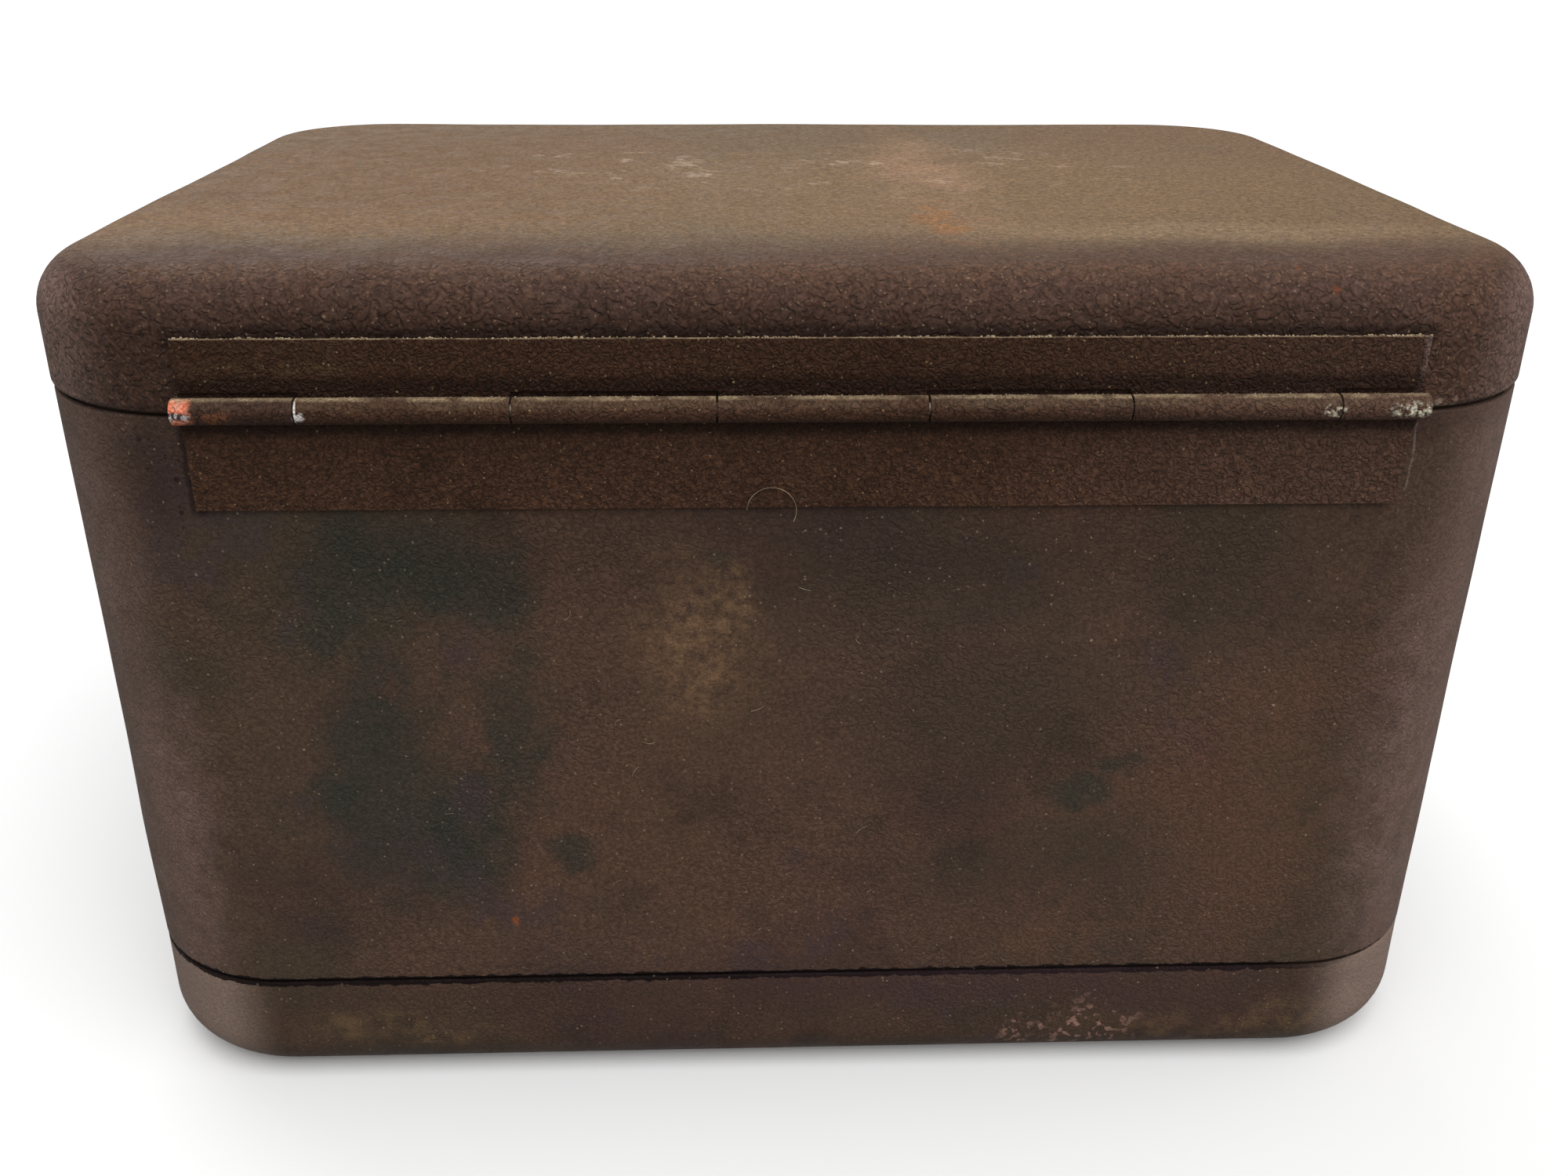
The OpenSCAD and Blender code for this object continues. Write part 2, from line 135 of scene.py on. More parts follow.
def distant_light(name, source, power, spread_deg):
    """A broad, soft light that comes from the direction of source."""
    data = bpy.data.lights.new(name, "SUN")
    data.energy = power
    data.angle = math.radians(spread_deg)
    light = bpy.data.objects.new(name, data)
    light.rotation_euler = Vector(source).to_track_quat("Z", "Y").to_euler()
    bpy.context.scene.collection.objects.link(light)


def make_lights():
    world = bpy.data.worlds.new("studio")
    bpy.context.scene.world = world
    world.use_nodes = True
    background = world.node_tree.nodes["Background"]
    background.inputs["Color"].default_value = (1, 1, 1, 1)
    background.inputs["Strength"].default_value = WORLD_STRENGTH
    distant_light("overhead", (-0.16, 0.36, 0.92), 2.7, 75)
    distant_light("rear_fill", (-0.2, 0.9, 0.35), 0.75, 60)
    distant_light("front_fill", (0.3, -0.7, 0.65), 0.9, 50)
    bpy.context.scene.view_settings.view_transform = "Standard"


# ---------- material building ----------

# Patches of wear on the hinge-side wall are centred at this y. Each patch reaches this far to
# both sides of the wall, or of the lid's top.
WALL_MM = 92
WALL_REACH_MM = 14
TOP_REACH_MM = 20


def shade(r, g, b):
    """Linear colour from a display colour given in 0 to 255."""
    def linear(c):
        c /= 255
        return ((c + 0.055) / 1.055) ** 2.4 if c > 0.04 else c / 12.92
    return (linear(r), linear(g), linear(b), 1)


class Graph:
    """A material's node tree, with short calls for the nodes used here. Each returns a socket.
    A mask is a socket that runs from 0 to 1."""

    def __init__(self, name):
        self.material = bpy.data.materials.new(name)
        self.material.use_nodes = True
        self.tree = self.material.node_tree
        self.tree.nodes.clear()
        place = self.tree.nodes.new("ShaderNodeTexCoord")
        self.point = place.outputs["Object"]
        self.facing = place.outputs["Normal"]

    def node(self, kind, inputs, **settings):
        """Adds a node. An input that is a socket is linked, and a None is left at its default."""
        made = self.tree.nodes.new(kind)
        for key, value in settings.items():
            setattr(made, key, value)
        for key, value in inputs.items():
            if isinstance(value, bpy.types.NodeSocket):
                self.tree.links.new(value, made.inputs[key])
            elif value is not None:
                made.inputs[key].default_value = value
        return made

    def calc(self, operation, a, b=None, clamp=False):
        return self.node("ShaderNodeMath", {0: a, 1: b}, operation=operation,
                         use_clamp=clamp).outputs[0]

    def vector(self, operation, a, b):
        return self.node("ShaderNodeVectorMath", {0: a, 1: b},
                         operation=operation).outputs["Vector"]

    def axis(self, vector, letter):
        return self.node("ShaderNodeSeparateXYZ", {0: vector}).outputs[letter]

    def sideways(self):
        """0 on faces that look along Y or Z, up to 1 on those that look along X."""
        return self.calc("ABSOLUTE", self.axis(self.facing, "X"))

    def noise(self, scale, detail=2, roughness=0.5, distortion=0, point=None):
        return self.node("ShaderNodeTexNoise", {
            "Vector": point or self.point, "Scale": scale, "Detail": detail,
            "Roughness": roughness, "Distortion": distortion}).outputs["Fac"]

    def step(self, value, low, high, to_low=0.0, to_high=1.0):
        return self.node("ShaderNodeMapRange", {
            0: value, 1: low, 2: high, 3: to_low, 4: to_high},
            interpolation_type="SMOOTHSTEP").outputs[0]

    def cloud(self, scale, detail, low, high, to_low=0.0, to_high=1.0, roughness=0.5, point=None):
        """Noise that reads to_low where it is under low and to_high where it is over high."""
        return self.step(self.noise(scale, detail, roughness, point=point), low, high,
                         to_low, to_high)

    def elsewhere(self, x, y, z):
        """The surface point moved away, for a noise that is unlike the one at the point."""
        return self.vector("ADD", self.point, (x, y, z))

    def ragged(self, scale, amount, detail=4):
        """The surface point, shifted by noise, for patches with uneven edges."""
        colour = self.node("ShaderNodeTexNoise", {
            "Vector": self.point, "Scale": scale, "Detail": detail}).outputs["Color"]
        centred = self.vector("SUBTRACT", colour, (0.5, 0.5, 0.5))
        shift = self.node("ShaderNodeVectorMath", {0: centred, 3: amount * 2}, operation="SCALE")
        return self.vector("ADD", self.point, shift.outputs["Vector"])

    def specks(self, scale, share, size):
        """Small grains: share of the cells that hold one, and its radius in cell widths."""
        shifted = self.ragged(900, 0.25 * MM, 1)
        cells = {"Vector": shifted, "Scale": scale}
        pick = self.axis(self.node("ShaderNodeTexVoronoi", cells).outputs["Color"], "X")
        near = self.node("ShaderNodeTexVoronoi", cells).outputs["Distance"]
        held = self.step(pick, 1 - share, 1 - share * 0.5)
        return self.calc("MULTIPLY", held, self.step(near, size * 0.5, size, 1.0, 0.0))

    def patch(self, centre, radii, point=None, soft=0.4):
        """1 inside an ellipsoid, fading to 0 across its surface. Sizes in millimetres."""
        offset = self.vector("SUBTRACT", point or self.point, [c * MM for c in centre])
        unit = self.vector("DIVIDE", offset, [r * MM for r in radii])
        made = self.node("ShaderNodeVectorMath", {0: unit}, operation="LENGTH")
        return self.step(made.outputs["Value"], 1 - soft, 1 + soft, 1.0, 0.0)

    def wall_patches(self, point, *places, reach=WALL_REACH_MM):
        """Patches on the hinge-side wall: x, z, half width, half height and softness of each."""
        return self.either([self.patch((x, WALL_MM, z), (width, reach, height), point, soft)
                            for x, z, width, height, soft in places])

    def top_patch(self, point, x, y, width, depth, soft):
        """A patch on the lid's top: its middle, half width, half depth and softness."""
        return self.patch((x, y, TOP / MM), (width, depth, TOP_REACH_MM), point, soft)

    def band(self, letter, low, high, soft, point=None):
        """1 between low and high on one axis, fading over soft. Sizes in millimetres."""
        value = self.axis(point or self.point, letter)
        rise = self.step(value, (low - soft) * MM, low * MM)
        fall = self.step(value, high * MM, (high + soft) * MM, 1.0, 0.0)
        return self.calc("MULTIPLY", rise, fall)

    def either(self, masks):
        found = masks[0]
        for mask in masks[1:]:
            found = self.calc("MAXIMUM", found, mask)
        return found

    def both(self, *masks):
        found = masks[0]
        for mask in masks[1:]:
            found = self.calc("MULTIPLY", found, mask)
        return found

    def mix(self, factor, a, b, blend="MIX"):
        return self.node("ShaderNodeMix", {0: factor, 6: a, 7: b}, data_type="RGBA",
                         blend_type=blend).outputs[2]

    def paint(self, colour, *layers):
        """Lays (mask, strength, tone) layers over a colour, one after another."""
        for mask, strength, tone in layers:
            colour = self.mix(self.calc("MULTIPLY", mask, strength), colour, tone)
        return colour

    def grained(self, colour, scale, low, high):
        """Varies a colour's lightness with fine noise."""
        grain = self.cloud(scale, 2, 0.3, 0.7, low, high, roughness=0.6)
        grey = self.node("ShaderNodeCombineXYZ", {0: grain, 1: grain, 2: grain}).outputs[0]
        return self.mix(1.0, colour, grey, "MULTIPLY")

    def bump(self, height, distance):
        return self.node("ShaderNodeBump", {"Height": height, "Distance": distance}).outputs["Normal"]

    def surface(self, colour, roughness, normal=None, metallic=None, **constants):
        shader = self.node("ShaderNodeBsdfPrincipled", {
            "Base Color": colour, "Roughness": roughness, "Normal": normal,
            "Metallic": metallic, **constants})
        out = self.tree.nodes.new("ShaderNodeOutputMaterial")
        self.tree.links.new(shader.outputs[0], out.inputs["Surface"])




# ---------- enamel ----------

ENAMEL = {"Specular IOR Level": 0.1, "Sheen Weight": 0.03, "Sheen Roughness": 0.5}
# Dark colour laid in the wrinkle creases: grime, and painted shade in the creases.
CREASE_SHADE_AND_GRIME = shade(30, 20, 14)
RUST = shade(108, 58, 34)
FRESH_RUST = shade(128, 70, 38)
PALE_DUST = shade(150, 130, 102)


def wrinkles(g, scale=820):
    """Wrinkle enamel: rounded worm-like lumps with narrow creases. Returns height and crease."""
    swell = g.noise(scale, 1.5, 0.45, 0.4)
    rise = g.calc("ABSOLUTE", g.calc("SUBTRACT", swell, 0.5))
    lump = g.step(rise, 0.0, 0.13)
    crease = g.step(rise, 0.012, 0.06, 1.0, 0.0)
    height = g.calc("ADD", lump, g.calc("MULTIPLY", g.noise(2600, 2), 0.5))
    return height, crease


def enamel_base(g, dark, middling, warm):
    """Brown enamel in three tones, mottled at three scales."""
    colour = g.mix(g.cloud(16, 4, 0.38, 0.64, roughness=0.6), middling, warm)
    colour = g.paint(colour, (g.cloud(55, 5, 0.5, 0.72, roughness=0.62), 0.75, dark))
    return g.grained(colour, 1300, 0.82, 1.16)


def satin(g):
    """Roughness of the enamel, uneven at the scale of finger marks."""
    return g.cloud(160, 3, 0.3, 0.7, 0.5, 0.7)


def dust_on_top(g, low, high):
    """Settled dust: 1 on faces that look up at rest, with an uneven edge."""
    up = g.axis(g.facing, "Z")
    uneven = g.calc("MULTIPLY", g.calc("SUBTRACT", g.noise(70, 5, 0.6), 0.5), 0.3)
    return g.step(g.calc("ADD", up, uneven), low, high)


def rust_flecks(g, places, size):
    frayed = g.ragged(600, 1.2 * MM)
    return g.either([g.patch(place, (size, size, size), frayed, 0.5) for place in places])


def pit_marks(g):
    """Small dark pits, with smaller ones between them."""
    return g.calc("MAXIMUM", g.specks(400, 0.4, 0.24), g.specks(900, 0.4, 0.32))


# ---------- the body's enamel ----------

def weathered_tones(g, ragged, frayed):
    """Layers of green, brown and tan where the hinge-side wall has weathered."""
    green = g.grained(shade(49, 51, 44), 1300, 0.85, 1.15)
    wide = g.both(g.wall_patches(ragged, (67, 80, 24, 38, 0.3)),
                  g.cloud(60, 6, 0.42, 0.6, roughness=0.65))
    cores = g.wall_patches(frayed, (66, 107, 15, 9, 0.5), (52, 104, 8, 10, 0.5),
                           (74, 66, 9, 20, 0.5), (62, 56, 11, 14, 0.5), (49, 76, 5, 17, 0.6))
    spots = g.wall_patches(frayed, (14, 108, 3, 2.6, 0.6), (40, 51, 3.5, 3.5, 0.5),
                           (-50, 63, 5, 3, 0.5), (-57, 69, 6, 3, 0.6))
    warm = g.both(g.wall_patches(frayed, (61, 88, 14, 12, 0.5)),
                  g.cloud(420, 5, 0.4, 0.6, roughness=0.65))
    livid = g.cloud(48, 5, 0.56, 0.68, roughness=0.65, point=g.elsewhere(2, 6, 5))
    faint = g.wall_patches(frayed, (-20, 103, 26, 13, 0.7), (-72, 102, 13, 12, 0.7),
                           (-30, 80, 22, 16, 0.8), (-44, 45, 22, 8, 0.8))
    tan = g.both(g.wall_patches(frayed, (17, 94, 8, 13, 0.8), (11, 102, 4, 5, 0.6)),
                 g.cloud(480, 5, 0.32, 0.72, roughness=0.7))
    return [(wide, 0.65, green),
            (g.calc("MAXIMUM", cores, spots), 0.66, green),
            (warm, 0.3, shade(88, 64, 50)),
            (livid, 0.45, shade(66, 54, 58)),
            (faint, 0.6, shade(60, 52, 44)),
            (tan, 0.8, shade(128, 99, 72))]


def corner_and_leaf_tones(g, ragged, frayed):
    """Layers for corners painted paler, as wear and painted sheen, painted shade round the lower leaf with grime
    at its +X end, and russet at -X.
    """
    # Corners painted paler: wear, and painted sheen where the wall turns away.
    corners = g.either([g.patch((112, 84, 55), (9, 20, 32), frayed, 0.6),
                        g.patch((-112, 80, 62), (12, 26, 48), frayed, 0.6),
                        g.patch((120, 78, 106), (9, 22, 24), frayed, 0.7),
                        g.patch((-120, 78, 122), (9, 22, 12), frayed, 0.7)])
    corners = g.both(corners, g.cloud(260, 5, 0.2, 0.66, roughness=0.65))
    shaded = g.either([g.patch((103, 88, 128), (10, 18, 11), ragged, 0.6),
                       g.patch((0, 93, 133), (140, 60, 4), ragged, 0.6)])
    # Painted shade on the wall below the lower leaf.
    shade_under_leaf = g.patch((0, 93, 112), (98, 16, 10), ragged, 0.7)
    leaf_end = body_leaf_hi.x / MM
    # A dark line along the lower leaf's +X end: painted shade where the leaf meets the wall, and grime.
    shade_and_grime_beside_leaf = g.both(g.band("X", leaf_end - 1.2, leaf_end + 0.5, 0.7, g.ragged(300, 1.2 * MM)),
                         g.band("Z", body_leaf_lo.z / MM, 134, 2))
    pits = g.both(pit_marks(g), g.patch((106, 92, 124), (14, 24, 14), frayed, 0.6))
    russet = g.both(g.wall_patches(frayed, (-84, 58, 19, 38, 0.8), (-50, 36, 16, 13, 0.7)),
                    g.cloud(300, 5, 0.25, 0.6, roughness=0.65))
    return [(corners, 0.42, shade(143, 115, 109)),
            (shaded, 0.55, shade(44, 27, 28)),
            (shade_under_leaf, 0.3, shade(40, 30, 26)),
            (shade_and_grime_beside_leaf, 0.6, shade(26, 14, 14)),
            (pits, 0.75, shade(24, 12, 10)),
            (russet, 0.36, shade(104, 72, 56))]


def seam_shade_and_grime(g):
    """The dark gap above the pan: painted shade and grime in and around it. Its -X end is broken up by enamel."""
    seam = SEAM / MM
    bridged = g.ragged(420, 0.9 * MM, 3)
    line = g.band("Z", seam - 0.75, seam + 0.95, 0.2, bridged)
    gap = g.band("Z", seam + 0.05, seam + 0.8, 0.15)
    whole = g.both(g.calc("MAXIMUM", line, gap),
                   g.step(g.axis(bridged, "X"), -112 * MM, -86 * MM))
    broken = g.calc("MULTIPLY", gap, g.cloud(420, 2, 0.42, 0.58))
    return g.calc("MAXIMUM", whole, broken)


def pan_tones(g, outer, ragged, frayed):
    """Layers for the pan, painted sheen on its ends, the seam above it painted dark as shade and grime, and the
    wear on the pan's lower edge.
    """
    pan = g.step(g.axis(g.point, "Z"), SEAM, SEAM + 0.3 * MM, 1.0, 0.0)
    # Where the pan turns towards +-X it is painted paler: painted sheen.
    pan_end_sheen = g.step(g.sideways(), 0.02, 0.45)
    violet = g.both(pan, g.patch((-48, 92, 19), (46, 20, 5), ragged, 0.8))
    pink = g.both(g.wall_patches(frayed, (-57, 9, 8, 5, 0.6), (-43, 8, 3, 3, 0.6), reach=20),
                  outer, g.cloud(700, 3, 0.54, 0.62))
    yellow = g.either([g.patch((77, 92, 12), (17, 20, 4), ragged, 0.7),
                       g.patch((-97, 90, 10), (8, 20, 5), ragged, 0.7),
                       g.patch((-80, 90, 8), (20, 20, 4), ragged, 0.9)])
    return [(pan, 0.3, shade(46, 32, 28)),
            (g.both(pan, pan_end_sheen), 0.54, shade(156, 134, 120)),
            (seam_shade_and_grime(g), 0.97, shade(17, 6, 6)),
            (violet, 0.3, shade(66, 46, 52)),
            (pink, 0.6, shade(170, 130, 116)),
            (g.both(yellow, g.cloud(300, 4, 0.3, 0.8), outer), 0.32, shade(138, 108, 72))]


def body_flecks(g, outer):
    """Layers for a scratch at the leaf's -X end, rust and pale specks."""
    leaf_end = body_leaf_lo.x / MM
    scratch = g.both(g.band("X", leaf_end - 0.6, leaf_end - 0.45, 0.2, g.ragged(140, 1.6 * MM)),
                     g.band("Z", 121, 132, 1.5), g.cloud(600, 3, 0.38, 0.5), outer)
    rust = rust_flecks(g, [(51.4, 92.4, 36.6), (101.8, 91, 53.6), (98.5, 92, 115.5)], 0.9)
    pale = g.calc("MAXIMUM", g.specks(1200, 0.09, 0.3),
                  g.calc("MULTIPLY", g.specks(420, 0.008, 0.14), 1.6))
    return [(scratch, 0.34, shade(146, 128, 120)),
            (rust, 0.85, FRESH_RUST),
            (pale, 0.28, shade(186, 160, 132))]


def make_body_paint():
    g = Graph("body_enamel")
    plain = enamel_base(g, shade(61, 48, 39), shade(80, 62, 49), shade(87, 64, 51))
    haze = g.cloud(24, 5, 0.48, 0.64, roughness=0.6, point=g.elsewhere(3, 1, 7))
    bruise = g.cloud(20, 5, 0.52, 0.68, roughness=0.65, point=g.elsewhere(8, 4, 2))
    ragged = g.ragged(75, 8 * MM, 6)
    frayed = g.ragged(140, 7 * MM, 6)
    colour = g.paint(plain,
                     (haze, 0.45, shade(60, 56, 43)),
                     (bruise, 0.5, shade(62, 45, 45)),
                     *weathered_tones(g, ragged, frayed),
                     *corner_and_leaf_tones(g, ragged, frayed))
    outer = g.step(g.axis(g.facing, "Y"), -0.2, 0.2)
    colour = g.mix(outer, plain, colour)
    # Faces that turn towards +-X are painted paler: painted sheen where the wall turns away, and wear.
    ends = g.step(g.sideways(), 0.2, 0.7)
    height, crease = wrinkles(g)
    colour = g.paint(colour,
                     (ends, 0.4, shade(120, 96, 84)),
                     # Creases darker: grime and painted shade.
                     (crease, 0.22, CREASE_SHADE_AND_GRIME),
                     *pan_tones(g, outer, ragged, frayed),
                     *body_flecks(g, outer))
    colour = g.grained(colour, 2100, 0.86, 1.14)
    relief = g.calc("MULTIPLY", height, g.cloud(30, 3, 0.35, 0.65, 0.4, 1.0))
    g.surface(colour, satin(g), g.bump(relief, 0.13 * MM), **ENAMEL)
    return g.material


# ---------- the lid's enamel ----------

def lid_side_tones(g):
    """Layers for the lid's sides: low parts darker with painted shade and grime, painted shade in the crevice
    above the leaf, a worn hem and pits.
    """
    # The lid's low parts are painted darker: painted shade, and grime.
    low_part_shade_and_grime = g.step(g.axis(g.point, "Z"), 147 * MM, 155 * MM, 1.0, 0.0)
    leaf_top = lid_leaf_hi.z / MM
    # Painted shade in the crevice above the lid's leaf.
    crevice_shade = g.both(g.band("Z", leaf_top - 1, leaf_top + 0.9, 1.4, g.ragged(300, 1.0 * MM)),
                     g.band("X", lid_leaf_lo.x / MM, lid_leaf_hi.x / MM, 3),
                     g.step(g.axis(g.facing, "Y"), 0.0, 0.3))
    hem = g.both(g.band("Z", lid_lo.z / MM + 0.4, lid_lo.z / MM + 1.9, 0.5),
                 g.cloud(170, 4, 0.56, 0.66, roughness=0.65))
    frayed = g.ragged(140, 7 * MM, 6)
    pits = g.both(pit_marks(g), g.either([g.patch((108, 90, 142), (16, 24, 9), frayed, 0.6),
                                          g.patch((60, 94, 148), (60, 24, 4), frayed, 0.6)]))
    return [(g.both(low_part_shade_and_grime, g.band("X", -85, 95, 22)), 0.62, shade(44, 28, 20)),
            (g.both(low_part_shade_and_grime, g.band("X", 0, 78, 14)), 0.3, shade(40, 24, 16)),
            (crevice_shade, 0.65, shade(26, 14, 9)),
            (hem, 0.6, shade(150, 130, 112)),
            (pits, 0.7, shade(26, 14, 11))]


def dust_film(g, uneven):
    """The tan film on the lid's top, with brighter, browner, worn and stained parts."""
    film = g.mix(g.cloud(17, 5, 0.38, 0.62, roughness=0.6), shade(110, 89, 65), shade(115, 91, 67))
    worn = g.both(g.top_patch(uneven, -30, -6, 9, 46, 0.9),
                  g.cloud(60, 5, 0.3, 0.6, roughness=0.65))
    stain = g.both(g.top_patch(uneven, -28, 50, 7, 19, 0.7), g.cloud(170, 4, 0.46, 0.6))
    return g.paint(
        film,
        (g.cloud(30, 4, 0.5, 0.7, point=g.elsewhere(1, 9, 4)), 0.5, shade(112, 95, 75)),
        (g.top_patch(uneven, -74, 60, 38, 8, 0.6), 0.6, shade(134, 112, 86)),
        (g.top_patch(uneven, 85, 48, 45, 12, 0.6), 0.6, shade(128, 98, 68)),
        (g.top_patch(uneven, 80, -5, 52, 62, 0.8), 0.55, shade(112, 80, 50)),
        (g.top_patch(uneven, -35, 15, 75, 50, 0.6), 0.33, shade(140, 110, 76)),
        (worn, 0.62, shade(158, 122, 94)),
        (stain, 0.55, shade(150, 98, 50)))


def make_lid_paint():
    g = Graph("lid_enamel")
    colour = enamel_base(g, shade(60, 43, 36), shade(76, 54, 43), shade(84, 59, 46))
    height, crease = wrinkles(g, 560)
    purple = g.cloud(26, 3, 0.45, 0.65, point=g.elsewhere(5, 2, 8))
    # Faces that turn towards +-X are painted paler: painted sheen where the lid turns away, and wear.
    ends = g.step(g.sideways(), 0.3, 0.8)
    colour = g.paint(colour,
                     (purple, 0.3, shade(77, 59, 54)),
                     (ends, 0.68, shade(130, 104, 94)),
                     # Creases darker: grime and painted shade.
                     (crease, 0.32, CREASE_SHADE_AND_GRIME),
                     *lid_side_tones(g))
    uneven = g.ragged(45, 9 * MM, 6)
    behind_bend = g.step(g.axis(uneven, "Y"), 60 * MM, 83 * MM, 1.0, 0.0)
    settled = dust_on_top(g, 0.74, 1.0)
    dusty = g.both(behind_bend, settled)
    shoulder = g.calc("SUBTRACT", settled, dusty, clamp=True)
    colour = g.paint(colour,
                     (shoulder, 0.25, shade(106, 77, 54)),
                     (dusty, 0.95, dust_film(g, uneven)))
    scuffed = g.both(dusty, g.top_patch(uneven, -2, -14, 66, 26, 0.5),
                     g.cloud(120, 4, 0.54, 0.64, roughness=0.6), g.cloud(330, 3, 0.42, 0.6))
    colour = g.paint(colour, (scuffed, 0.6, shade(178, 156, 136)))
    colour = g.grained(colour, 800, 0.78, 1.2)
    colour = g.grained(colour, 1900, 0.72, 1.28)
    rust = rust_flecks(g, [(-79, 87, 155.5), (-84, 91, 153), (-60, 89, 155)], 0.6)
    near_edge = g.step(g.axis(g.point, "Y"), 10 * MM, 60 * MM, 0.25, 1.0)
    grains = g.calc("MAXIMUM", g.specks(1500, 0.25, 0.32), g.specks(600, 0.05, 0.2))
    sprinkled = g.both(g.specks(500, 0.1, 0.15), g.calc("SUBTRACT", 1.0, dusty))
    colour = g.paint(colour,
                     (rust, 0.7, RUST),
                     (g.both(grains, near_edge), 0.3, shade(168, 144, 112)),
                     (sprinkled, 0.42, shade(150, 130, 106)))
    relief = g.calc("MULTIPLY", height, g.step(dusty, 0.0, 1.0, 1.0, 0.9))
    g.surface(colour, satin(g), g.bump(relief, 0.22 * MM), **ENAMEL)
    return g.material


# ---------- the hinge's enamel ----------

HINGE_Y_MM = HINGE.y / MM
HINGE_Z_MM = HINGE.z / MM
FIRST_KNUCKLE_MM = knuckle_spans()[0][0] / MM


def barrel_patch(g, point, x, out, up, half_width, half_height, soft=0.4, reach=3):
    """A patch on the barrel, placed by its x and by its offset out and up from the pin."""
    return g.patch((x, HINGE_Y_MM + out, HINGE_Z_MM + up), (half_width, reach, half_height),
                   point, soft)


def leaf_tones(g):
    """Layers for the two leaves: paler towards -X, the upper one darker with painted shade and grime, and a
    painted highlight on the -X rim.
    """
    pale_end = g.step(g.axis(g.point, "X"), -90 * MM, -20 * MM, 1.0, 0.0)
    upper = g.step(g.axis(g.point, "Z"), HINGE.z + 2 * MM, HINGE.z + 3 * MM)
    olive = g.both(upper, g.patch((82, 94, 142), (14, 5, 5), g.ragged(90, 6 * MM), 0.7),
                   g.cloud(420, 4, 0.4, 0.7))
    end = lid_leaf_lo.x
    # A painted highlight along the upper leaf's -X rim.
    rim_highlight = g.both(g.step(g.axis(g.ragged(300, 0.8 * MM), "X"), end + 0.4 * MM, end + 1.4 * MM,
                             1.0, 0.0), upper)
    return [(pale_end, 0.45, shade(98, 74, 62)),
            # The upper leaf darker: painted shade and grime.
            (upper, 0.5, shade(48, 28, 14)),
            (olive, 0.32, shade(84, 68, 44)),
            (rim_highlight, 0.5, shade(126, 106, 100))]


def barrel_tones(g):
    """Layers for the barrel: its top painted lighter, as wear and painted light, the first knuckle, chips, and a
    dab of pink paint.
    """
    barrel = g.step(g.axis(g.point, "Y"), HINGE.y - 0.8 * MM, HINGE.y + 0.8 * MM)
    top_half = g.step(g.axis(g.facing, "Z"), 0.1, 0.6)
    # The barrel's upward-facing half painted lighter: wear, and painted light from above.
    worn = g.both(barrel, g.cloud(90, 4, 0.3, 0.6, roughness=0.6), top_half)
    knuckle = FIRST_KNUCKLE_MM
    first = g.both(barrel, g.step(g.axis(g.point, "X"), (knuckle + 0.05) * MM, (knuckle + 0.55) * MM))
    orange = g.both(first, g.cloud(700, 3, 0.4, 0.6),
                    barrel_patch(g, g.ragged(300, 1.4 * MM), 90, 2, -0.7, 2.2, 1.3, 0.6))
    ragged = g.ragged(420, 1.3 * MM, 4)
    bare = g.either([barrel_patch(g, ragged, knuckle - 0.65, 2.1, -0.7, 0.65, 0.7),
                     barrel_patch(g, g.point, knuckle - 0.15, 1.6, 0.5, 0.22, 1.6)])
    chipped = g.either([barrel_patch(g, ragged, -83.6, 2.1, -0.1, 1.7, 0.8),
                        barrel_patch(g, ragged, -96.0, 2.0, -0.2, 3.2, 1.1, 0.5)])
    dab_x = body_leaf_hi.x / MM - 0.75
    dab = barrel_patch(g, ragged, dab_x, 1.6, 0.3, 2.5, 3, 0.3, reach=5)
    streaked = barrel_patch(g, ragged, dab_x, 2.0, -0.2, 3, 0.8)
    streaks = g.mix(g.cloud(1300, 3, 0.45, 0.58), shade(206, 198, 196), shade(60, 48, 44))
    pink = g.mix(g.cloud(900, 3, 0.45, 0.6), shade(224, 126, 94), shade(204, 140, 116))
    return [(worn, 0.7, shade(84, 66, 50)),
            (first, 0.6, shade(56, 38, 31)),
            (orange, 0.6, shade(120, 74, 46)),
            (bare, 0.95, shade(226, 218, 212)),
            (g.both(chipped, g.cloud(1100, 3, 0.42, 0.56)), 0.9, shade(206, 198, 176)),
            (g.both(dab, barrel), 0.9, g.mix(streaked, pink, streaks))]


def make_hinge_paint():
    g = Graph("hinge_enamel")
    colour = enamel_base(g, shade(50, 32, 21), shade(69, 46, 32), shade(76, 51, 37))
    height, crease = wrinkles(g, 950)
    # Painted shade on the leaves next to the barrel.
    barrel_shade = g.both(g.band("Z", HINGE_Z_MM - 3.5, HINGE_Z_MM + 4, 2.0, g.ragged(300, 1.0 * MM)),
                         g.step(g.axis(g.point, "Y"), HINGE.y - 1 * MM, HINGE.y - 0.4 * MM, 1.0, 0.0))
    settled = g.both(dust_on_top(g, 0.8, 1.0), g.cloud(260, 4, 0.3, 0.6))
    colour = g.paint(colour,
                     *leaf_tones(g),
                     # Creases darker: grime and painted shade.
                     (crease, 0.3, CREASE_SHADE_AND_GRIME),
                     (barrel_shade, 0.75, shade(30, 15, 8)),
                     *barrel_tones(g),
                     (settled, 0.8, PALE_DUST))
    colour = g.grained(colour, 1000, 0.82, 1.2)
    colour = g.grained(colour, 2100, 0.7, 1.3)
    colour = g.paint(colour, (g.specks(1300, 0.12, 0.28), 0.5, shade(160, 134, 98)))
    rough = g.cloud(160, 3, 0.3, 0.7, 0.42, 0.65)
    g.surface(colour, rough, g.bump(height, 0.2 * MM), **ENAMEL)
    return g.material


# ---------- the other finishes ----------

